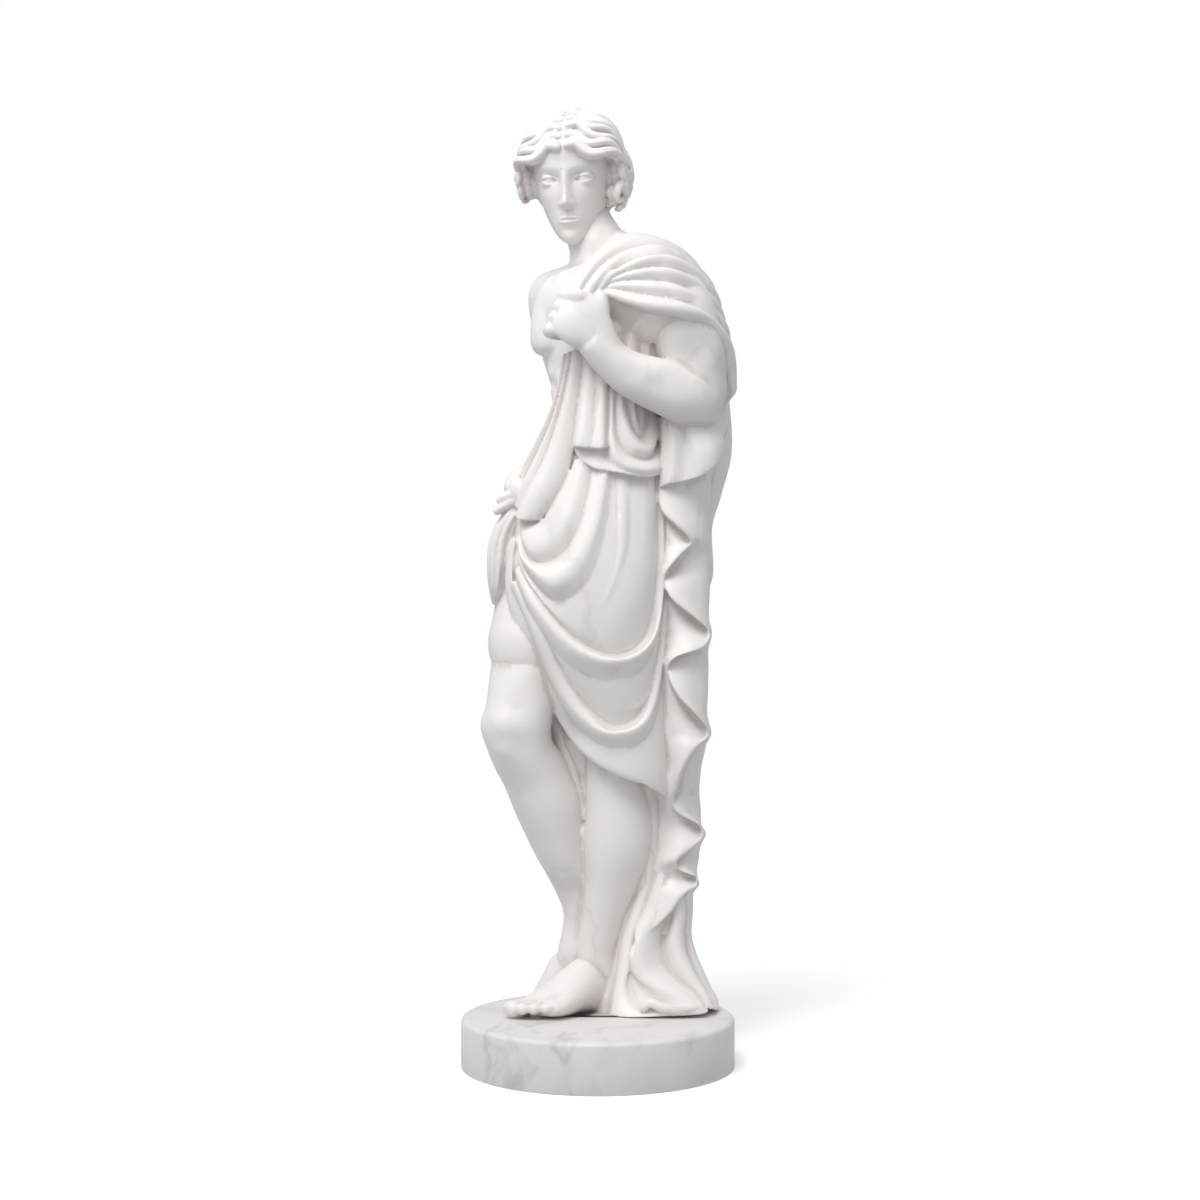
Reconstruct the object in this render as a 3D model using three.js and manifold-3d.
// A marble youth wrapped in a cloak, standing on a round plinth.
// Millimetres, +Z up, the front of the statue towards -Y, the origin under the middle of the plinth.
import * as THREE from 'three';
import Module from 'manifold-3d';

const wasm = await Module();
wasm.setup();

// Driving dimensions
const figureHeight = 1636;
const plinthDiameter = 500;
const plinthHeight = 90;
const plinthTopRadius = 9;
const plinthFootChamfer = 2;
const seatGap = 0.3;

// The carving is laid out as shares of a figure of this height, on a floor at this level.
const layoutHeight = 1636;
const layoutFloor = 90;

// Outlines are given where an eye at this distance and height sees them on the middle plane, each with a depth.
const eyeDistance = 3200;
const eyeHeight = 702;

// Which way the body faces, on the ground plan
const bodyFront = [-0.7, -0.71, 0];
const upward = [0, 0, 1];
const viewerward = [0, -1, 0];

// Small vector sums on plain arrays
const plus = (a, b, k = 1) => a.map((value, i) => value + k * b[i]);
const dot = (a, b) => a[0] * b[0] + a[1] * b[1] + a[2] * b[2];
const cross = (a, b) => [a[1] * b[2] - a[2] * b[1], a[2] * b[0] - a[0] * b[2], a[0] * b[1] - a[1] * b[0]];
const unit = (a) => a.map((value) => value / (Math.hypot(...a) || 1));
const mix = (a, b, t) => a.map((value, i) => value + t * (b[i] - value));

// Carries a seen point to its real place; anything after x, y, z stays as it is.
function seen([x, y, z, ...rest]) {
  const scale = (eyeDistance + y) / eyeDistance;
  return [x * scale, y, eyeHeight + (z - eyeHeight) * scale, ...rest];
}

// One point of a smooth curve through a list of rows of numbers
function onCurve(rows, t) {
  const last = rows.length - 1;
  const i = Math.min(Math.floor(t * last), last - 1);
  const f = t * last - i;
  const before = rows[Math.max(i - 1, 0)];
  const after = rows[Math.min(i + 2, last)];
  return rows[i].map((value, k) => {
    const end = rows[i + 1][k];
    const slope0 = (end - before[k]) / 2;
    const slope1 = (after[k] - value) / 2;
    const f2 = f * f;
    const f3 = f2 * f;
    const places = value * (2 * f3 - 3 * f2 + 1) + end * (3 * f2 - 2 * f3);
    return places + slope0 * (f3 - 2 * f2 + f) + slope1 * (f3 - f2);
  });
}

// Rows evenly spaced along the curve's length
function evenly(rows, steps) {
  const fine = Array.from({ length: 121 }, (_, i) => onCurve(rows, i / 120));
  const reach = [0];
  for (let i = 1; i < fine.length; i++) {
    const step = Math.hypot(...plus(fine[i], fine[i - 1], -1).slice(0, 3));
    reach.push(reach[i - 1] + step);
  }
  const total = reach[reach.length - 1];
  return Array.from({ length: steps + 1 }, (_, i) => {
    const target = (total * i) / steps;
    let k = reach.findIndex((value) => value >= target - 1e-9);
    k = Math.max(k, 1);
    return mix(fine[k - 1], fine[k], (target - reach[k - 1]) / (reach[k] - reach[k - 1] || 1));
  });
}

// A closed mesh as a solid, turned so that its faces point outwards
function solidOf(points, faces) {
  let volume = 0;
  for (const [a, b, c] of faces) volume += dot(points[a], cross(points[b], points[c]));
  const outward = volume > 0 ? faces : faces.map(([a, b, c]) => [a, c, b]);
  return new wasm.Manifold(new wasm.Mesh({
    numProp: 3,
    vertProperties: new Float32Array(points.flat()),
    triVerts: new Uint32Array(outward.flat()),
  }));
}

// Rings of points closed into a skin, with a point at each end
function skinned(rings) {
  const count = rings[0].length;
  const points = rings.flat();
  const faces = [];
  for (let i = 0; i + 1 < rings.length; i++) {
    for (let k = 0; k < count; k++) {
      const next = (k + 1) % count;
      const [a, b] = [i * count + k, i * count + next];
      faces.push([a, b, b + count], [a, b + count, a + count]);
    }
  }
  const middle = (ring) => ring.reduce((sum, p) => plus(sum, p), [0, 0, 0]).map((value) => value / count);
  const top = (rings.length - 1) * count;
  const [first, final] = [points.length, points.length + 1];
  points.push(middle(rings[0]), middle(rings[rings.length - 1]));
  for (let k = 0; k < count; k++) {
    const next = (k + 1) % count;
    faces.push([first, next, k], [final, top + k, top + next]);
  }
  return solidOf(points, faces);
}

// How far muscles push the skin out at a point
const swellAt = (muscles, p) => muscles.reduce((sum, [x, y, z, reach, height]) => {
  const away = Math.hypot(p[0] - x, p[1] - y, p[2] - z) / reach;
  return sum + height * Math.exp(-away * away);
}, 0);

// A limb: oval sections through stations of x, y, z, half width, half depth
function limb(stations, { sides = 10, steps = stations.length - 1, front = bodyFront, muscles = [] } = {}) {
  const rows = stations.map(seen);
  const lumps = muscles.map(seen);
  const rings = [];
  for (let i = 0; i <= steps; i++) {
    const t = i / steps;
    const [x, y, z, width, depth] = onCurve(rows, t);
    const ahead = onCurve(rows, Math.min(t + 0.02, 1));
    const behind = onCurve(rows, Math.max(t - 0.02, 0));
    const along = unit(plus(ahead, behind, -1).slice(0, 3));
    const face = unit(plus(front, along, -dot(front, along)));
    const side = cross(along, face);
    rings.push(Array.from({ length: sides }, (_, k) => {
      const turn = (2 * Math.PI * k) / sides;
      const out = plus(side.map((v) => v * width * Math.cos(turn)), face, depth * Math.sin(turn));
      const skin = plus([x, y, z], out);
      return plus(skin, unit(out), swellAt(lumps, skin));
    }));
  }
  return skinned(rings);
}

// A rounded lump given by its real middle and half sizes
function roundLump([cx, cy, cz], [width, depth, height], sides = 7, bands = 4) {
  const rings = [];
  for (let i = 1; i < bands; i++) {
    const tilt = (Math.PI * i) / bands;
    rings.push(Array.from({ length: sides }, (_, k) => {
      const turn = (2 * Math.PI * k) / sides;
      const r = Math.sin(tilt);
      return [cx + width * r * Math.cos(turn), cy + depth * r * Math.sin(turn), cz - height * Math.cos(tilt)];
    }));
  }
  return skinned(rings);
}

// Height between a low line and a high one: a sharp valley and a round crest
function foldHeight(from, to, t) {
  const rising = to >= from;
  const share = Math.sin((Math.PI / 2) * (rising ? t : 1 - t));
  return rising ? from + (to - from) * share : to + (from - to) * share;
}

// Cloth laid over lines of x, y, z, height; its back is carried into the body by the shift that into gives.
function drape(lines, { across = 1, along = 12, into = () => [0, 70, 0] } = {}) {
  const rails = lines.map((line) => evenly(line, along));
  const bed = [];
  for (let i = 0; i + 1 < rails.length; i++) {
    const extra = i + 2 === rails.length ? 1 : 0;
    for (let k = 0; k < across + extra; k++) {
      const t = k / across;
      bed.push(rails[i].map((row, j) => {
        const other = rails[i + 1][j];
        return [...mix(row, other, t).slice(0, 3), foldHeight(row[3], other[3], t)];
      }));
    }
  }
  const within = (k, last) => Math.max(0, Math.min(k, last));
  const at = (i, j) => bed[within(i, bed.length - 1)][within(j, along)].slice(0, 3);
  const outer = bed.map((row, i) => row.map((point, j) => {
    const run = plus(at(i + 1, j), at(i - 1, j), -1);
    const rise = plus(at(i, j + 1), at(i, j - 1), -1);
    let out = unit(cross(run, rise));
    if (dot(out, into(point)) > 0) out = out.map((value) => -value);
    return plus(point.slice(0, 3), out, point[3]);
  }));
  const inner = bed.map((row) => row.map((point) => plus(point.slice(0, 3), into(point))));
  return slab(outer, inner);
}

// Two grids of points closed round their edges
function slab(outer, inner) {
  const [rows, columns] = [outer.length, outer[0].length];
  const points = [...outer.flat(), ...inner.flat()];
  const size = rows * columns;
  const faces = [];
  for (let i = 0; i + 1 < rows; i++) {
    for (let j = 0; j + 1 < columns; j++) {
      const a = i * columns + j;
      const [b, c, d] = [a + 1, a + columns + 1, a + columns];
      faces.push([a, b, c], [a, c, d], [size + a, size + c, size + b], [size + a, size + d, size + c]);
    }
  }
  const rim = [];
  for (let j = 0; j + 1 < columns; j++) rim.push(j);
  for (let i = 0; i + 1 < rows; i++) rim.push(i * columns + columns - 1);
  for (let j = columns - 1; j > 0; j--) rim.push((rows - 1) * columns + j);
  for (let i = rows - 1; i > 0; i--) rim.push(i * columns);
  rim.forEach((a, k) => {
    const b = rim[(k + 1) % rim.length];
    faces.push([b, a, size + a], [b, size + a, size + b]);
  });
  return solidOf(points, faces);
}

// A form given by levels of z, middle x, middle y, half width, half depth, as a tall oval column
function levelOf(levels, z) {
  const last = levels.length - 1;
  let i = levels.findIndex((row, k) => k < last && z <= row[0] && z >= levels[k + 1][0]);
  if (i < 0) i = z > levels[0][0] ? 0 : last - 1;
  const t = Math.max(0, Math.min(1, (levels[i][0] - z) / (levels[i][0] - levels[i + 1][0])));
  return onCurve(levels, (i + t) / last);
}

// Lays a seen outline of x, z, height on the front of a column
function onFront(levels, line, stand = 0) {
  return line.map(([x, z, height]) => {
    let y = -100;
    let place = seen([x, y, z]);
    for (let i = 0; i < 6; i++) {
      const [, middleX, middleY, width, depth] = levelOf(levels, place[2]);
      const share = Math.max(-0.97, Math.min(0.97, (place[0] - middleX) / width));
      y = middleY - depth * Math.sqrt(1 - share * share) - stand;
      place = seen([x, y, z]);
    }
    return [...place, height];
  });
}

// The clothed body from the shoulders to the knees
const drapedBody = [
  [1480, 15, 10, 110, 75],
  [1420, 10, 5, 135, 105],
  [1340, 5, 0, 132, 122],
  [1260, 0, 0, 116, 115],
  [1180, 0, 0, 108, 108],
  [1100, 0, 0, 122, 112],
  [1020, -5, 0, 146, 122],
  [940, -15, 0, 150, 130],
  [860, -15, 0, 150, 132],
  [780, -5, 5, 136, 124],
  [700, 15, 10, 116, 112],
  [620, 35, 15, 98, 98],
  [540, 50, 20, 86, 85],
  [480, 55, 25, 80, 78],
];

// The cloak that falls down the back to the plinth
const cloakFall = [
  [1484, 100, 20, 30, 20],
  [1455, 112, 28, 54, 36],
  [1400, 120, 38, 78, 50],
  [1300, 122, 42, 108, 66],
  [1200, 106, 42, 138, 86],
  [1120, 82, 48, 164, 100],
  [1040, 60, 50, 166, 108],
  [985, 50, 50, 160, 112],
  [900, 46, 50, 166, 116],
  [850, 38, 52, 160, 116],
  [700, 60, 60, 138, 108],
  [590, 64, 70, 136, 98],
  [500, 74, 80, 108, 86],
  [425, 82, 85, 104, 78],
  [340, 86, 90, 92, 70],
  [260, 85, 96, 78, 65],
  [200, 88, 98, 88, 66],
  [150, 92, 94, 102, 72],
  [110, 95, 90, 118, 80],
  [80, 95, 90, 118, 80],
];

function torso() {
  const trunk = limb([
    [-5, 12, 1010, 115, 90],
    [0, 8, 1090, 116, 84],
    [6, 5, 1170, 106, 80],
    [8, 3, 1250, 111, 90],
    [7, 0, 1320, 138, 104],
    [8, 0, 1380, 148, 106],
    [10, 2, 1425, 138, 90],
    [12, 6, 1460, 96, 66],
    [8, 5, 1490, 60, 56],
  ], {
    sides: 14,
    steps: 8,
    muscles: [[-96, -30, 1262, 20, 8], [-90, -28, 1205, 20, 7], [-66, -64, 1256, 18, 6], [-64, -60, 1210, 18, 6]],
  });
  const chest = [
    roundLump([-68, -12, 1338], [55, 60, 56], 8, 5),
    roundLump([-20, -72, 1336], [60, 42, 54], 7, 4),
  ];
  const neck = limb([
    [10, 8, 1450, 66, 62],
    [0, 0, 1495, 54, 54],
    [-16, -8, 1530, 49, 50],
    [-30, -14, 1565, 48, 49],
    [-38, -20, 1610, 46, 46],
  ], { sides: 10 });
  const rightSlope = limb([[5, 18, 1492, 34, 34], [-35, 62, 1466, 36, 36], [-78, 112, 1424, 46, 46]], { sides: 8 });
  const leftSlope = limb([[15, 5, 1500, 40, 40], [70, -45, 1480, 46, 46], [128, -88, 1440, 56, 56]], { sides: 8 });
  return [trunk, ...chest, neck, rightSlope, leftSlope];
}

function rightArm() {
  return limb([
    [-68, 104, 1452, 24, 26],
    [-78, 116, 1425, 48, 50],
    [-78, 130, 1375, 47, 50],
    [-64, 142, 1310, 42, 44],
    [-46, 148, 1240, 38, 38],
    [-24, 140, 1185, 35, 36],
    [22, 124, 1150, 31, 30],
    [70, 108, 1126, 26, 24],
  ], { sides: 8, steps: 7 });
}

function leftArm() {
  const upper = limb([
    [122, -80, 1478, 34, 40],
    [132, -88, 1440, 60, 62],
    [150, -92, 1385, 64, 66],
    [166, -88, 1320, 63, 64],
    [176, -80, 1260, 60, 60],
    [188, -73, 1212, 48, 50],
    [198, -70, 1180, 26, 30],
  ], { sides: 9, steps: 7 });
  const fore = limb([
    [212, -64, 1200, 18, 22],
    [196, -70, 1205, 40, 42],
    [168, -82, 1220, 50, 54],
    [135, -97, 1233, 51, 55],
    [100, -112, 1243, 47, 51],
    [60, -130, 1261, 41, 44],
    [30, -142, 1284, 36, 36],
    [5, -152, 1308, 32, 31],
    [-12, -158, 1326, 30, 28],
  ], { sides: 9, steps: 8, front: upward });
  return [upper, fore];
}

function fist() {
  const palm = limb([
    [20, -146, 1300, 27, 26],
    [-8, -162, 1340, 40, 24],
    [-32, -169, 1363, 48, 20],
    [-54, -168, 1380, 44, 17],
    [-62, -164, 1385, 36, 13],
  ], { sides: 8, front: viewerward });
  const thumb = limb([
    [4, -148, 1335, 19, 22],
    [5, -158, 1394, 16, 18],
    [-8, -152, 1412, 9, 10],
  ], { sides: 6, front: viewerward });
  const fingerCount = 4;
  const fingers = Array.from({ length: fingerCount }, (_, i) => {
    const share = i / (fingerCount - 1);
    const [x, y, z] = mix([-36, -173, 1411], [-66, -164, 1345], share);
    const size = 13 - 2 * share;
    return limb([
      [x + 2, y - 3, z, size + 1, size + 2],
      [x - 21, y + 14, z + 2, size, size],
      [x - 14, y + 42, z - 5, size - 2, size - 2],
      [x + 6, y + 50, z - 8, size - 3, size - 3],
    ], { sides: 5, front: upward });
  });
  return [palm, thumb, ...fingers];
}

function leftLeg() {
  return limb([
    [42, 0, 680, 60, 64],
    [38, 8, 620, 58, 62],
    [36, 12, 570, 54, 58],
    [35, 20, 510, 56, 58],
    [40, 28, 450, 61, 62],
    [38, 36, 400, 62, 62],
    [29, 46, 350, 55, 56],
    [18, 54, 300, 46, 48],
    [8, 62, 250, 40, 44],
    [0, 68, 210, 37, 42],
    [2, 72, 165, 34, 40],
  ], { sides: 10, steps: 9 });
}

function rightLeg() {
  return limb([
    [-114, 32, 800, 66, 70],
    [-133, 8, 700, 64, 68],
    [-142, -4, 650, 62, 64],
    [-148, -6, 615, 63, 62],
    [-138, 6, 572, 60, 58],
    [-115, 26, 530, 61, 60],
    [-93, 42, 475, 61, 60],
    [-72, 58, 410, 51, 52],
    [-54, 70, 365, 44, 46],
    [-42, 80, 325, 37, 38],
    [-33, 86, 285, 31, 33],
    [-35, 90, 245, 31, 32],
    [-44, 94, 205, 30, 32],
    [-50, 98, 178, 26, 26],
  ], { sides: 9, steps: 10, muscles: [[-205, -15, 620, 24, 5], [-60, 40, 480, 40, 5]] });
}

// Toes from the outer edge of a foot's front, each a small tapered capsule
function toes(root, heading, outward, { spread, lengths, radii, setBack, height }) {
  return lengths.map((length, i) => {
    const base = plus(plus(root, outward, spread[i]), heading, -setBack[i] - 14);
    const step = (share, lift) => plus(plus(base, heading, share * (length + 14)), upward, lift);
    const r = radii[i];
    return limb([
      [...step(0, height + 2), r * 0.9, r],
      [...step(0.68, height - 1), r * 0.98, r * 0.95],
      [...step(0.96, height - 4), r * 0.6, r * 0.55],
    ], { sides: 5, front: upward });
  });
}

function leftFoot() {
  const foot = limb([
    [40, 116, 112, 14, 18],
    [32, 104, 118, 30, 34],
    [12, 84, 134, 34, 50],
    [-16, 58, 146, 36, 54],
    [-46, 28, 134, 41, 44],
    [-74, 0, 119, 47, 33],
    [-96, -24, 109, 50, 23],
    [-108, -36, 103, 46, 15],
  ], { sides: 8, front: upward, steps: 6 });
  return [foot, ...toes([-106, -34, 0], [-0.66, -0.75, 0], [0.75, -0.66, 0], {
    spread: [-38, -15, 4, 21, 37],
    lengths: [48, 46, 41, 35, 28],
    radii: [16.5, 12, 11.5, 11, 10.5],
    setBack: [0, 2, 8, 17, 28],
    height: 102,
  })];
}

function rightFoot() {
  const foot = limb([
    [-12, 92, 178, 16, 18],
    [-28, 94, 186, 27, 34],
    [-56, 100, 176, 28, 36],
    [-80, 108, 148, 32, 28],
    [-104, 115, 122, 37, 20],
    [-124, 118, 108, 36, 14],
    [-132, 118, 104, 32, 9],
  ], { sides: 7, front: upward, steps: 5 });
  return [foot, ...toes([-128, 118, 0], [-1, 0.05, 0], [0, 1, 0], {
    spread: [-27, -10, 4, 17, 29],
    lengths: [32, 30, 26, 22, 18],
    radii: [13, 9.5, 9, 8.5, 8.5],
    setBack: [0, 1, 4, 8, 13],
    height: 106,
  })];
}

// The stone behind the skirt's folds, down to the level where the legs part
function skirtCore() {
  const [coreTop, coreFoot] = [1180, 620];
  const [topShare, foldShare] = [0.8, 0.96];
  const levels = drapedBody.filter(([z], i) => z <= coreTop && z >= coreFoot && i % 2 === 0);
  return limb(levels.map(([z, x, y, width, depth], i) => {
    const share = i === 0 ? topShare : foldShare;
    return [x, y + 4, z, share * width, share * depth];
  }), { sides: 12, front: viewerward });
}

// The folds that run from the chest down to the right hip
function diagonalFolds() {
  const lines = [
    [[-64, 1292, 1], [-70, 1240, 1], [-82, 1198, 1], [-98, 1160, 1], [-122, 1108, 1], [-146, 1062, 1]],
    [
      [-58, 1300, 10], [-67, 1240, 12], [-80, 1192, 13], [-101, 1142, 13], [-128, 1090, 12],
      [-148, 1048, 9],
    ],
    [[-54, 1302, 2], [-64, 1238, 2], [-79, 1182, 2], [-104, 1126, 2], [-132, 1068, 2], [-146, 1038, 2]],
    [
      [-50, 1304, 10], [-60, 1236, 13], [-75, 1176, 14], [-99, 1114, 15], [-127, 1058, 15],
      [-144, 1026, 12],
    ],
    [[-46, 1305, 2], [-56, 1236, 3], [-71, 1172, 3], [-92, 1110, 3], [-116, 1062, 3], [-140, 1014, 4]],
    [[-37, 1306, 14], [-44, 1236, 20], [-56, 1172, 24], [-76, 1104, 28], [-102, 1046, 32], [-124, 996, 30]],
    [[-24, 1300, 2], [-30, 1230, 3], [-40, 1150, 3], [-52, 1088, 3], [-76, 1038, 4], [-102, 996, 6]],
  ];
  return drape(lines.map((line) => onFront(drapedBody, line)), { along: 8 });
}

// The front panel that hangs over the girdle, with its nested loops and wavy hem
function overfold() {
  const panel = [
    [[-26, 1300, 1], [-36, 1200, 1], [-42, 1140, 4], [-36, 1114, 8]],
    [[-4, 1296, 6], [-14, 1200, 6], [-16, 1135, 10], [-10, 1092, 16]],
    [[20, 1290, 3], [19, 1200, 3], [18, 1135, 6], [17, 1087, 12]],
    [[30, 1280, 18], [30, 1200, 21], [32, 1135, 25], [38, 1077, 26]],
    [[43, 1270, 8], [46, 1195, 8], [50, 1135, 12], [54, 1073, 23]],
    [[56, 1260, 16], [58, 1190, 17], [60, 1135, 14], [66, 1071, 23]],
    [[70, 1250, 5], [70, 1185, 4], [70, 1140, 8], [74, 1071, 23]],
    [[83, 1240, 16], [84, 1185, 18], [82, 1135, 14], [83, 1073, 23]],
    [[94, 1230, 8], [94, 1175, 9], [93, 1130, 12], [92, 1076, 23]],
    [[104, 1220, 17], [106, 1172, 21], [104, 1128, 25], [101, 1081, 25]],
    [[117, 1215, 2], [118, 1160, 3], [116, 1120, 3], [113, 1092, 5]],
  ];
  const tube = [
    [[-25, 1300, 3], [-33, 1215, 4], [-42, 1130, 6]],
    [[-12, 1300, 18], [-18, 1215, 25], [-27, 1127, 32]],
    [[-2, 1298, 15], [-4, 1215, 20], [-9, 1125, 27]],
    [[9, 1296, 18], [7, 1215, 24], [6, 1124, 31]],
    [[20, 1292, 3], [18, 1215, 5], [18, 1130, 8]],
  ];
  return [
    drape(panel.map((line) => onFront(drapedBody, line)), { along: 5 }),
    drape(tube.map((line) => onFront(drapedBody, line)), { along: 3 }),
  ];
}

// The skirt's nested loops, which hang from the right hip to the cascade
function swags() {
  const lines = [
    [[-118, 1002, 2], [-100, 996, 2], [-76, 1038, 2], [-50, 1086, 2], [-42, 1108, 2]],
    [[-136, 992, 8], [-124, 962, 16], [-104, 948, 18], [-66, 980, 15], [-45, 1030, 12], [-26, 1104, 9]],
    [[-138, 978, 3], [-124, 932, 3], [-98, 918, 3], [-58, 942, 3], [-28, 1005, 3], [-8, 1096, 2]],
    [[-140, 966, 8], [-126, 925, 18], [-78, 884, 22], [-32, 925, 16], [-2, 1000, 12], [14, 1090, 8]],
    [[-142, 945, 2], [-124, 898, 2], [-74, 850, 3], [-20, 885, 4], [12, 975, 3], [26, 1086, 2]],
    [
      [-142, 915, 2], [-112, 862, 1], [-40, 780, 1], [32, 750, 1], [86, 786, 1], [106, 900, 1],
      [109, 1084, 1],
    ],
    [
      [-146, 905, 7], [-112, 842, 15], [-42, 762, 21], [32, 738, 23], [88, 776, 19], [112, 880, 11],
      [114, 1084, 5],
    ],
    [
      [-148, 895, 3], [-112, 815, 6], [-45, 728, 9], [35, 705, 10], [90, 745, 8], [116, 870, 4],
      [118, 1078, 2],
    ],
    [
      [-148, 885, 2], [-98, 806, 3], [-66, 728, 3], [-22, 660, 1], [36, 621, 1], [88, 668, 1], [118, 850, 1],
      [121, 1070, 1],
    ],
    [
      [-152, 884, 7], [-110, 798, 12], [-74, 712, 16], [-24, 638, 20], [32, 606, 21], [92, 650, 15],
      [122, 850, 6], [124, 1066, 3],
    ],
    [
      [-156, 882, 3], [-122, 796, 4], [-84, 706, 7], [-34, 620, 9], [36, 580, 10], [98, 625, 7],
      [125, 830, 3], [127, 1060, 2],
    ],
    [
      [-150, 958, 4], [-160, 884, 7], [-142, 808, 9], [-112, 728, 10], [-78, 662, 11], [-44, 606, 12],
      [0, 560, 13], [56, 532, 13], [108, 522, 12], [132, 640, 8], [130, 1050, 3],
    ],
    [
      [-158, 955, 0], [-168, 880, 1], [-150, 812, 2], [-125, 735, 2], [-93, 676, 3], [-60, 620, 4],
      [-19, 565, 6], [20, 537, 8], [60, 518, 9], [92, 511, 9], [136, 487, 9], [140, 640, 5],
      [134, 1044, 3],
    ],
  ];
  return drape(lines.map((line) => onFront(drapedBody, line)), { along: 15 });
}

// The zigzag fall of the cloak's edge beside the skirt. Each row gives the height z, the edge's x, and how
// far the cloth stands out on the inner and the outer side of the edge.
function cascade() {
  const rows = [
    [1085, 116, 4, 12],
    [1045, 113, 2, 18],
    [1012, 120, 0, 26],
    [985, 146, 0, 30],
    [958, 170, 14, 24],
    [935, 154, 26, 6],
    [905, 130, 26, 2],
    [880, 124, 8, 18],
    [850, 138, 0, 28],
    [818, 176, 0, 32],
    [790, 204, 18, 26],
    [762, 190, 32, 8],
    [744, 142, 30, 4],
    [715, 130, 10, 16],
    [675, 147, 0, 26],
    [640, 178, 0, 30],
    [606, 203, 14, 22],
    [582, 182, 28, 8],
    [545, 160, 26, 4],
    [500, 145, 18, 4],
    [462, 144, 4, 14],
    [440, 180, 0, 24],
    [422, 193, 12, 22],
    [399, 176, 24, 4],
    [373, 146, 22, 2],
    [356, 150, 6, 14],
    [342, 178, 0, 24],
    [328, 181, 14, 16],
    [311, 158, 24, 4],
    [270, 127, 26, 0],
    [238, 92, 22, 0],
  ];
  // The height z, the x of the fall's inner and outer sides, and its middle's y
  const sides = [
    [1085, 108, 207, -62], [900, 108, 205, -62], [700, 120, 202, -62], [600, 126, 200, -58],
    [545, 128, 190, -44], [500, 112, 186, -22], [450, 116, 190, -6], [393, 110, 188, 2],
    [330, 95, 178, 8], [273, 78, 168, 14], [227, 66, 168, 18],
  ];
  const sidesAt = (z) => {
    const i = Math.max(0, sides.findIndex(([level], k) => k + 1 < sides.length && z >= sides[k + 1][0]));
    return mix(sides[i], sides[i + 1], (sides[i][0] - z) / (sides[i][0] - sides[i + 1][0]));
  };
  const bow = 0.004;
  const line = (pick) => rows.map(([z, edge, inner, outer]) => {
    const [, innerX, outerX, y] = sidesAt(z);
    const [x, stand] = pick(edge, inner, outer, innerX, outerX);
    return [...seen([x, y - stand + bow * (x - 120) ** 2, z]), 0];
  });
  const lines = [
    line((edge, inner, outer, innerX) => [innerX, -10]),
    line((edge, inner, outer, innerX) => [Math.min(edge - 4, 0.5 * (edge + innerX)), 0.6 * inner]),
    line((edge, inner) => [edge - 2, inner]),
    line((edge, inner, outer) => [edge + 2, outer]),
    line((edge, inner, outer, innerX, outerX) => [0.5 * (edge + outerX), 0.7 * outer]),
    line((edge, inner, outer, innerX, outerX) => [Math.max(edge + 5, outerX), -10]),
    rows.map(([z]) => [...seen([sidesAt(z)[2] - 12, 46, z]), 0]),
  ];
  return drape(lines, { along: 28, into: () => [-40, 60, 0] });
}

// The flap that hangs from under the elbow over the cascade
function elbowFlap() {
  const lines = [
    [[120, -84, 1190, 0], [117, -84, 1120, 0], [113, -82, 1056, 0]],
    [[134, -98, 1185, 0], [138, -100, 1120, 0], [134, -96, 1064, 0]],
    [[156, -92, 1180, 0], [160, -94, 1130, 0], [160, -92, 1068, 0]],
    [[172, -98, 1175, 0], [182, -108, 1122, 0], [194, -104, 1080, 0]],
    [[196, -88, 1175, 0], [212, -98, 1132, 0], [220, -92, 1102, 0]],
    [[216, -62, 1176, 0], [230, -62, 1150, 0], [232, -60, 1124, 0]],
  ];
  return drape(lines.map((line) => line.map(seen)), { along: 4, into: () => [-15, 75, 0] });
}

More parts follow.
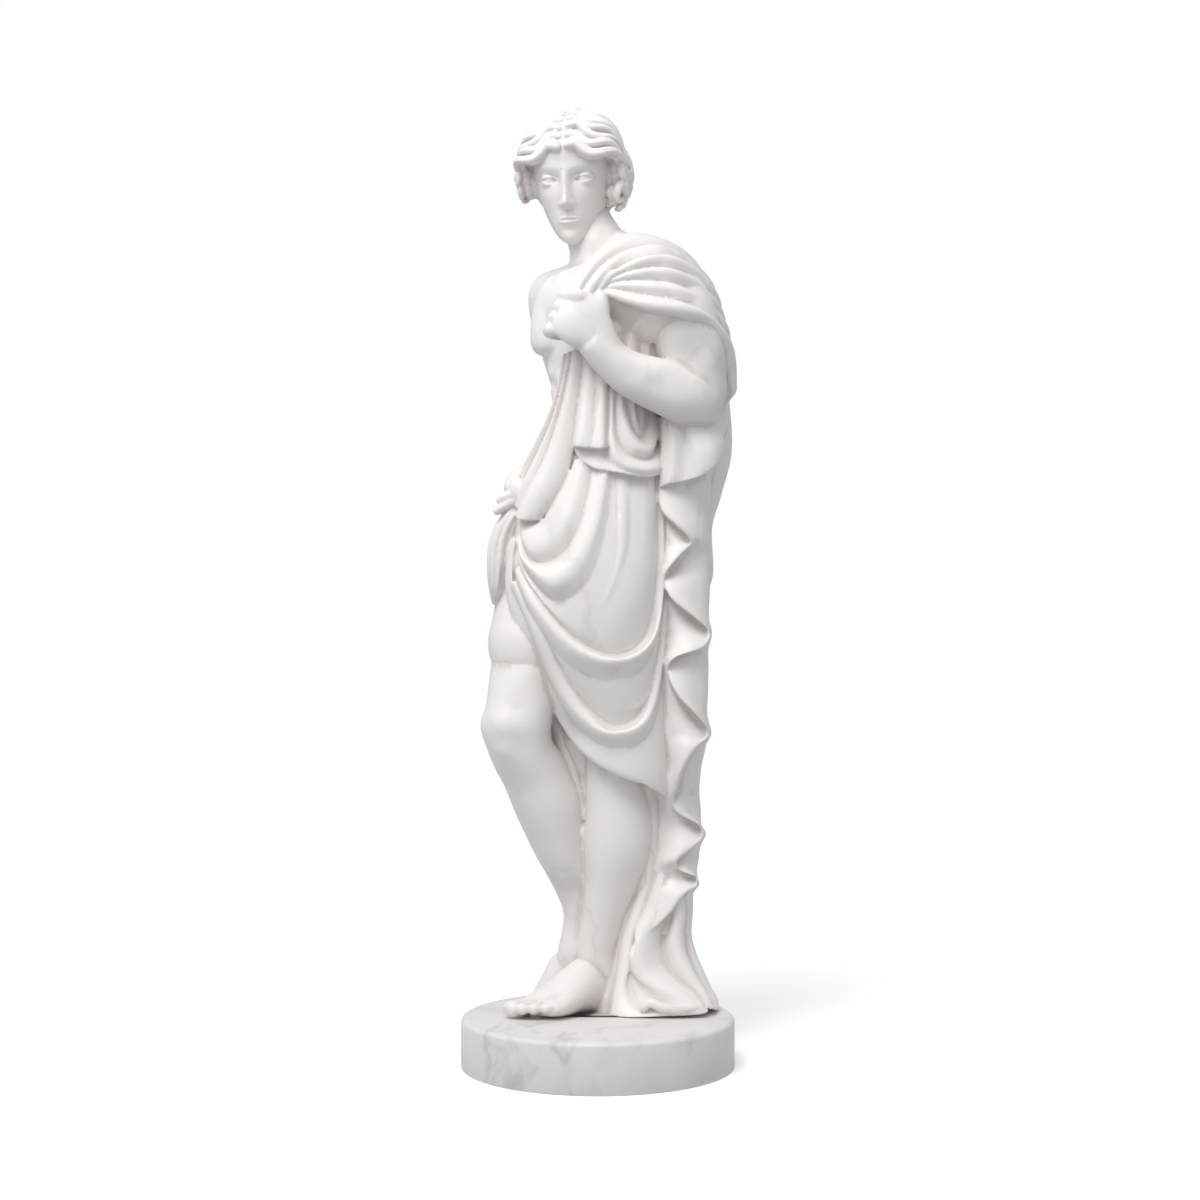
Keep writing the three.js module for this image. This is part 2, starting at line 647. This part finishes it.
// The cloak over the left shoulder, its folds fanning out from the fist
function shoulderCloak() {
  const lines = [
    [
      [-42, -158, 1426, 2], [-18, -142, 1466, 2], [12, -108, 1497, 2], [52, -62, 1520, 2],
      [95, -18, 1512, 2], [136, 34, 1476, 2], [160, 74, 1420, 2],
    ],
    [
      [-36, -162, 1420, 10], [-6, -148, 1462, 12], [30, -124, 1489, 12], [70, -92, 1503, 12],
      [115, -58, 1500, 12], [160, -10, 1474, 12], [188, 40, 1425, 10],
    ],
    [
      [-30, -162, 1413, 3], [0, -152, 1452, 3], [38, -132, 1481, 3], [80, -108, 1494, 3],
      [120, -84, 1492, 3], [165, -38, 1468, 3], [198, 8, 1420, 3],
    ],
    [
      [-24, -164, 1406, 10], [8, -156, 1445, 13], [45, -140, 1471, 14], [85, -124, 1485, 14],
      [125, -104, 1483, 14], [170, -60, 1458, 13], [206, -14, 1408, 12],
    ],
    [
      [-12, -164, 1400, 2], [15, -156, 1436, 2], [55, -148, 1465, 2], [95, -138, 1478, 2],
      [130, -122, 1476, 2], [174, -80, 1452, 2], [210, -34, 1398, 2],
    ],
    [
      [-2, -162, 1410, 6], [22, -156, 1439, 12], [60, -152, 1457, 15], [98, -146, 1468, 16],
      [135, -132, 1465, 16], [178, -94, 1440, 15], [215, -46, 1388, 12],
    ],
    [
      [8, -158, 1422, 2], [30, -156, 1437, 2], [62, -154, 1447, 2], [100, -152, 1456, 2],
      [138, -140, 1452, 2], [182, -104, 1427, 2], [219, -54, 1376, 2],
    ],
    [
      [10, -158, 1423, 4], [34, -157, 1435, 9], [66, -157, 1443, 12], [102, -156, 1448, 14],
      [142, -146, 1442, 14], [186, -110, 1415, 13], [223, -60, 1364, 11],
    ],
    [
      [12, -158, 1424, 2], [36, -158, 1431, 2], [68, -159, 1434, 2], [104, -160, 1434, 2],
      [145, -150, 1427, 2], [190, -114, 1402, 2], [227, -64, 1352, 2],
    ],
    [
      [12, -158, 1422, 4], [38, -159, 1425, 8], [70, -161, 1424, 10], [105, -162, 1420, 11],
      [148, -153, 1412, 11], [194, -116, 1388, 11], [232, -66, 1340, 10],
    ],
    [
      [11, -158, 1420, 2], [38, -159, 1417, 2], [70, -162, 1411, 2], [106, -164, 1405, 2],
      [152, -156, 1395, 2], [199, -116, 1372, 2], [237, -68, 1324, 2],
    ],
    [
      [9, -158, 1418, 6], [32, -160, 1408, 12], [65, -163, 1397, 16], [105, -166, 1388, 18],
      [152, -160, 1380, 18], [200, -120, 1356, 18], [236, -76, 1306, 14],
    ],
    [
      [5, -156, 1414, 2], [28, -158, 1401, 2], [60, -160, 1388, 2], [100, -163, 1376, 2],
      [148, -158, 1367, 2], [194, -126, 1346, 2], [228, -86, 1296, 2],
    ],
  ];
  const lastLine = lines.length - 1;
  const tails = lines.map((line, i) => {
    const share = i / lastLine;
    const height = line[line.length - 1][3];
    return [...line, [...mix([166, 88, 1370], [248, -44, 1225], share), height]];
  });
  return drape(tails.map((line) => line.map(seen)), { along: 7, into: () => [-30, 50, -40] });
}

// The cloth that shows between the fist and the upper arm
function armWindow() {
  const lines = [
    [[14, -128, 1412, 0], [14, -128, 1300, 0]],
    [[24, -124, 1410, 8], [22, -124, 1295, 8]],
    [[45, -118, 1404, 1], [46, -118, 1290, 1]],
    [[58, -116, 1402, 11], [62, -116, 1285, 11]],
    [[72, -110, 1398, 1], [78, -110, 1285, 1]],
    [[84, -104, 1394, 9], [90, -104, 1285, 9]],
    [[98, -88, 1390, 0], [108, -88, 1285, 0]],
  ];
  return drape(lines.map((line) => line.map(seen)), { along: 2 });
}

// The cloak down the back, with long folds all round that fade towards the front
function backFall() {
  const around = 24;
  const steps = 11;
  const folds = 8;
  const top = cloakFall[0][0];
  const foot = cloakFall[cloakFall.length - 1][0];
  const rings = [];
  for (let i = 0; i <= steps; i++) {
    const z = top + ((foot - top) * i) / steps;
    const [, middleX, middleY, width, depth] = levelOf(cloakFall, z);
    const sway = 0.35 * Math.sin((z - layoutFloor) / 260);
    rings.push(Array.from({ length: around }, (_, k) => {
      const turn = (2 * Math.PI * k) / around;
      const wave = Math.abs(Math.sin((folds * (turn + 0.25 * sway)) / 2));
      const height = (9 + 5 * Math.sin(3 * turn + 0.004 * z)) * (Math.sqrt(wave) - 0.6);
      const reach = 1 + height / Math.min(width, depth);
      return [middleX + width * reach * Math.cos(turn), middleY + depth * reach * Math.sin(turn), z];
    }));
  }
  return skinned(rings);
}

// The rolled edge of the cloak, from the right hip round the back and up to the left shoulder
function backRoll() {
  return limb([
    [-140, -34, 1036, 12, 22],
    [-158, 10, 1044, 18, 26],
    [-140, 72, 1064, 20, 28],
    [-84, 124, 1086, 21, 30],
    [-10, 140, 1120, 20, 30],
    [46, 124, 1198, 19, 30],
    [84, 94, 1298, 18, 28],
    [108, 62, 1388, 17, 26],
    [112, 10, 1458, 12, 18],
  ], { sides: 7, steps: 9, front: upward });
}

// The cloth that swoops from the fall's edge and spreads on the plinth, its curled hem, and the folds
// between the legs
function lowerFall() {
  const swoop = [
    [
      [107, 34, 500, 0], [112, 34, 440, 0], [100, 38, 392, 0], [81, 40, 347, 0], [61, 42, 290, 0],
      [44, 40, 227, 0], [34, 34, 170, 0], [28, 26, 135, 0], [18, 14, 104, 0], [12, 6, 88, 0],
    ],
    [
      [112, 20, 500, 6], [120, 20, 440, 7], [112, 22, 392, 8], [92, 26, 336, 8], [72, 26, 273, 9],
      [57, 22, 216, 9], [50, 14, 170, 9], [41, 4, 130, 8], [32, -16, 86, 4],
    ],
    [
      [118, 22, 500, 1], [126, 22, 440, 1], [116, 26, 392, 1], [98, 28, 330, 1], [79, 28, 273, 1],
      [66, 24, 227, 1], [59, 18, 181, 1], [61, 6, 141, 1], [70, -10, 113, 2], [81, -34, 84, 3],
    ],
    [
      [130, 20, 500, 6], [134, 18, 440, 8], [124, 20, 392, 8], [116, 14, 330, 8], [104, 8, 275, 10],
      [82, 4, 238, 12], [75, 0, 213, 14], [81, -4, 167, 15], [113, -14, 138, 14], [160, -26, 112, 10],
      [190, -30, 90, 6],
    ],
    [
      [142, 26, 500, 1], [142, 24, 440, 1], [136, 26, 392, 1], [134, 24, 330, 1], [132, 24, 273, 1],
      [121, 24, 238, 1], [119, 22, 215, 1], [129, 16, 178, 1], [153, 6, 147, 1], [179, -4, 127, 1],
      [198, -14, 100, 2],
    ],
    [
      [152, 22, 500, 6], [152, 20, 440, 6], [150, 20, 392, 6], [148, 16, 330, 8], [147, 14, 273, 9],
      [143, 14, 238, 10], [145, 12, 210, 10], [159, 8, 176, 10], [180, 2, 144, 9], [197, -4, 122, 7],
      [208, -8, 100, 5],
    ],
    [
      [164, 32, 500, 1], [164, 32, 440, 1], [162, 32, 392, 1], [162, 32, 330, 1], [161, 32, 273, 1],
      [158, 32, 238, 1], [163, 30, 204, 1], [175, 26, 173, 1], [192, 20, 141, 1], [206, 14, 118, 1],
      [216, 10, 98, 2],
    ],
    [
      [180, 52, 500, 3], [182, 52, 440, 3], [178, 52, 392, 3], [172, 52, 330, 4], [170, 52, 273, 4],
      [168, 50, 238, 4], [176, 48, 204, 4], [190, 46, 170, 4], [202, 44, 141, 4], [216, 42, 121, 3],
      [221, 38, 100, 2],
    ],
    [
      [172, 92, 500, 0], [172, 92, 400, 0], [160, 96, 330, 0], [160, 96, 260, 0], [178, 96, 190, 0],
      [206, 94, 140, 0], [214, 92, 100, 0],
    ],
  ];
  const curl = limb([
    [80, -30, 100, 7, 7],
    [118, -38, 103, 9, 8],
    [174, -32, 104, 8, 8],
    [192, -22, 108, 6, 6],
  ], { sides: 5 });
  const betweenLegs = [
    [[-104, 40, 640, 0], [-70, 42, 545, 0], [-40, 44, 465, 0]],
    [[-80, 26, 640, 8], [-52, 30, 552, 8], [-28, 34, 470, 6]],
    [[-28, 40, 640, 0], [-14, 40, 572, 0], [-4, 42, 495, 0]],
  ];
  return [
    drape(swoop.map((line) => line.map(seen)), { along: 9, into: () => [-20, 60, -10] }),
    curl,
    drape(betweenLegs.map((line) => line.map(seen)), { along: 2 }),
  ];
}

// The short tunic over the right thigh
function tunic() {
  return limb([
    [-50, 50, 1080, 66, 66],
    [-62, 52, 1020, 92, 96],
    [-84, 44, 930, 92, 98],
    [-102, 38, 850, 83, 87],
    [-113, 26, 800, 80, 84],
    [-120, 18, 766, 80, 84],
    [-120, 18, 760, 74, 78],
  ], { sides: 11, steps: 6 });
}

// The knotted skin at the right hip: a knot, two paws and the hanging pelt
function hipSkin() {
  const pelt = limb([
    [-136, -30, 1020, 14, 16],
    [-158, -26, 1000, 18, 22],
    [-176, -14, 960, 22, 28],
    [-182, -6, 915, 21, 30],
    [-185, 0, 872, 15, 24],
    [-189, 4, 842, 5, 8],
  ], { sides: 6, steps: 5, front: viewerward });
  const knot = roundLump(seen([-148, -42, 1052]), [16, 18, 24]);
  const upperPaw = limb([[-146, -46, 1046, 11, 10], [-168, -44, 1040, 10, 9], [-184, -40, 1030, 8, 7]], {
    sides: 4,
    front: upward,
  });
  const lowerPaw = limb([[-150, -44, 1036, 11, 10], [-172, -42, 1022, 10, 9], [-190, -38, 1010, 8, 7]], {
    sides: 4,
    front: upward,
  });
  return [pelt, knot, upperPaw, lowerPaw];
}

// The head in its own frame: x to its left, y out of the face, z up, then turned, bowed and tilted
const headPlace = seen([-44, -26, 1618]);
const headTurn = new THREE.Euler(
  THREE.MathUtils.degToRad(10),
  THREE.MathUtils.degToRad(-5),
  THREE.MathUtils.degToRad(-12),
  'YXZ',
);

function onHead([x, y, z]) {
  const point = new THREE.Vector3(x, -y, z).applyEuler(headTurn);
  return [headPlace[0] + point.x, headPlace[1] + point.y, headPlace[2] + point.z];
}

// Levels of the skull and jaw: z, half width, reach of the face, reach of the back
const skullLevels = [
  [-113, 12, 58, -42],
  [-107, 31, 71, -24],
  [-96, 43, 77, -2],
  [-76, 53, 79, 28],
  [-50, 60, 80, 58],
  [-22, 66, 81, 74],
  [5, 69, 81, 82],
  [30, 71, 82, 86],
  [60, 71, 77, 86],
  [86, 60, 58, 76],
  [104, 38, 32, 50],
  [112, 12, 8, 18],
];

function skullPoint(level, turn, stand = 0) {
  const [z, width, face, back] = onCurve(skullLevels, level);
  const ahead = Math.cos(turn);
  const reach = ahead > 0 ? face : back;
  const out = Math.sign(ahead) * Math.pow(Math.abs(ahead), 0.9) * (reach + stand);
  return [(width + stand) * Math.sin(turn), out, z];
}

function head() {
  const around = 13;
  const steps = 10;
  const hollows = [[-31, 80, 6, 15, -8], [31, 80, 6, 15, -8], [0, 84, 24, 26, 4], [0, 80, -88, 16, 5]];
  const rings = [];
  for (let i = 0; i <= steps; i++) {
    rings.push(Array.from({ length: around }, (_, k) => {
      const [x, y, z] = skullPoint(i / steps, (2 * Math.PI * k) / around);
      return onHead([x, y + swellAt(hollows, [x, y, z]), z]);
    }));
  }
  const solids = [skinned(rings)];
  const feature = (stations, sides = 6) => skinned(stations.map(([x, y, z, width, depth]) => (
    Array.from({ length: sides }, (_, k) => {
      const turn = (2 * Math.PI * k) / sides;
      return onHead([x + width * Math.cos(turn), y + depth * Math.sin(turn), z]);
    })
  )));
  const nose = [[0, 76, 20, 7, 8], [0, 82, 4, 6, 10], [0, 94, -32, 12, 13], [0, 88, -41, 13, 9]];
  const mouth = [[0, 78, -56, 20, 9], [0, 77, -61, 21, 6], [0, 78, -66, 18, 9], [0, 74, -73, 12, 7]];
  solids.push(feature(nose), feature(mouth));
  for (const side of [-1, 1]) {
    solids.push(feature([[side * 30, 66, -6, 9, 7], [side * 30, 70, 3, 13, 9], [side * 30, 68, 12, 10, 7]]));
  }
  return solids;
}

// The hair lies on a rounded shell. A place on it is given in degrees: how far out to a side, and how far
// over the head from the face's front.
function hairPoint(out, over, stand = 0) {
  const [a, e] = [THREE.MathUtils.degToRad(out), THREE.MathUtils.degToRad(over)];
  const flat = Math.cos(a);
  return [
    (92 + stand) * Math.sin(a),
    -6 + (92 + stand) * flat * Math.cos(e),
    10 + (99 + stand) * flat * Math.sin(e),
  ];
}

// The hair: waved locks from the parting to the ears, over the head and down to the nape, and curls round them
function hair() {
  const locks = 8;
  const [fringe, nape] = [29, 208];
  const reach = 82;
  const steps = 10;
  const [valley, crest] = [-2, 10];
  const rings = [];
  for (let row = 0; row <= 2 * locks; row++) {
    const share = row / (2 * locks);
    const ring = [];
    for (let i = 0; i <= steps; i++) {
      const out = -reach + (2 * reach * i) / steps;
      const away = Math.abs(out) / reach;
      const wave = 6 * Math.sin(3 * Math.PI * away + 0.6) * (1 - away);
      const height = row % 2 ? crest : valley;
      const over = fringe + (nape - fringe) * share + wave;
      ring.push(onHead(hairPoint(out, over, away === 0 ? 0 : height)));
    }
    const inside = hairPoint(0, fringe + (nape - fringe) * share, 0).map((value) => 0.35 * value);
    ring.push(onHead([30, inside[1], inside[2]]), onHead([-30, inside[1], inside[2]]));
    rings.push(ring);
  }
  const solids = [skinned(rings)];
  for (const side of [-1, 1]) {
    for (const [out, over, size] of [[80, -50, 21], [52, 220, 24]]) {
      solids.push(roundLump(onHead(hairPoint(side * out, over, 2)), [size, size, size + 3], 5, 3));
    }
  }
  return solids;
}

// Everything above the floor level of the carving is kept.
function belowFloor() {
  const room = 1000;
  const depth = 400;
  const corners = [];
  for (const z of [layoutFloor - depth, layoutFloor]) {
    corners.push([-room, -room, z], [room, -room, z], [room, room, z], [-room, room, z]);
  }
  const faces = [
    [0, 2, 1], [0, 3, 2], [4, 5, 6], [4, 6, 7], [0, 1, 5], [0, 5, 4],
    [1, 2, 6], [1, 6, 5], [2, 3, 7], [2, 7, 6], [3, 0, 4], [3, 4, 7],
  ];
  return solidOf(corners, faces);
}

function carving() {
  const solids = [
    torso(), rightArm(), leftArm(), fist(), leftLeg(), rightLeg(), leftFoot(), rightFoot(), skirtCore(),
    diagonalFolds(), overfold(), swags(), cascade(), elbowFlap(), shoulderCloak(), armWindow(), backFall(),
    backRoll(), lowerFall(), tunic(), hipSkin(), head(), hair(),
  ].flat();
  const whole = solids.reduce((sum, solid) => sum.add(solid));
  return whole.subtract(belowFloor());
}

// The triangles of the block's outer skin: pockets that folds close off inside it are filled with stone.
function outerSkin(triangles, places) {
  const parent = Array.from({ length: places.length / 3 }, (_, i) => i);
  const rootOf = (i) => {
    let root = i;
    while (parent[root] !== root) root = parent[root];
    while (parent[i] !== root) [parent[i], i] = [root, parent[i]];
    return root;
  };
  for (let i = 0; i < triangles.length; i += 3) {
    parent[rootOf(triangles[i + 1])] = rootOf(triangles[i]);
    parent[rootOf(triangles[i + 2])] = rootOf(triangles[i]);
  }
  const volumes = new Map();
  const corner = (i) => Array.from(places.subarray(3 * i, 3 * i + 3));
  for (let i = 0; i < triangles.length; i += 3) {
    const root = rootOf(triangles[i]);
    const [a, b, c] = [corner(triangles[i]), corner(triangles[i + 1]), corner(triangles[i + 2])];
    volumes.set(root, (volumes.get(root) ?? 0) + dot(a, cross(b, c)));
  }
  const [block] = [...volumes].reduce((largest, entry) => (entry[1] > largest[1] ? entry : largest));
  return triangles.filter((_, i) => rootOf(triangles[i - (i % 3)]) === block);
}

// Stands the carving on the plinth at the figure's real height.
function figureGeometry() {
  const mesh = carving().getMesh();
  const scale = figureHeight / layoutHeight;
  const places = new Float32Array(mesh.vertProperties.length);
  for (let i = 0; i < places.length; i += 3) {
    places[i] = mesh.vertProperties[i] * scale;
    places[i + 1] = mesh.vertProperties[i + 1] * scale;
    places[i + 2] = (mesh.vertProperties[i + 2] - layoutFloor) * scale;
  }
  const geometry = new THREE.BufferGeometry();
  geometry.setAttribute('position', new THREE.BufferAttribute(places, 3));
  geometry.setIndex(new THREE.BufferAttribute(outerSkin(new Uint32Array(mesh.triVerts), places), 1));
  return geometry;
}

function plinthGeometry() {
  const radius = plinthDiameter / 2;
  const profile = [
    new THREE.Vector2(0, 0),
    new THREE.Vector2(radius - plinthFootChamfer, 0),
    new THREE.Vector2(radius, plinthFootChamfer),
  ];
  const arcSteps = 2;
  for (let i = 0; i <= arcSteps; i++) {
    const turn = (Math.PI / 2) * (i / arcSteps);
    profile.push(new THREE.Vector2(
      radius - plinthTopRadius + plinthTopRadius * Math.cos(turn),
      plinthHeight - plinthTopRadius + plinthTopRadius * Math.sin(turn),
    ));
  }
  profile.push(new THREE.Vector2(0, plinthHeight));
  const plinthSides = 44;
  return new THREE.LatheGeometry(profile, plinthSides).rotateX(Math.PI / 2);
}

const figureMarble = new THREE.MeshStandardMaterial({ color: '#e6e2de', roughness: 0.55, metalness: 0 });
const plinthMarble = new THREE.MeshStandardMaterial({ color: '#dedad8', roughness: 0.5, metalness: 0 });

const plinth = new THREE.Mesh(plinthGeometry(), plinthMarble);
plinth.name = 'plinth';

const figure = new THREE.Mesh(figureGeometry(), figureMarble);
figure.name = 'figure';
figure.position.set(0, 0, plinthHeight + seatGap);

const statue = new THREE.Group();
statue.add(plinth, figure);

export default statue;
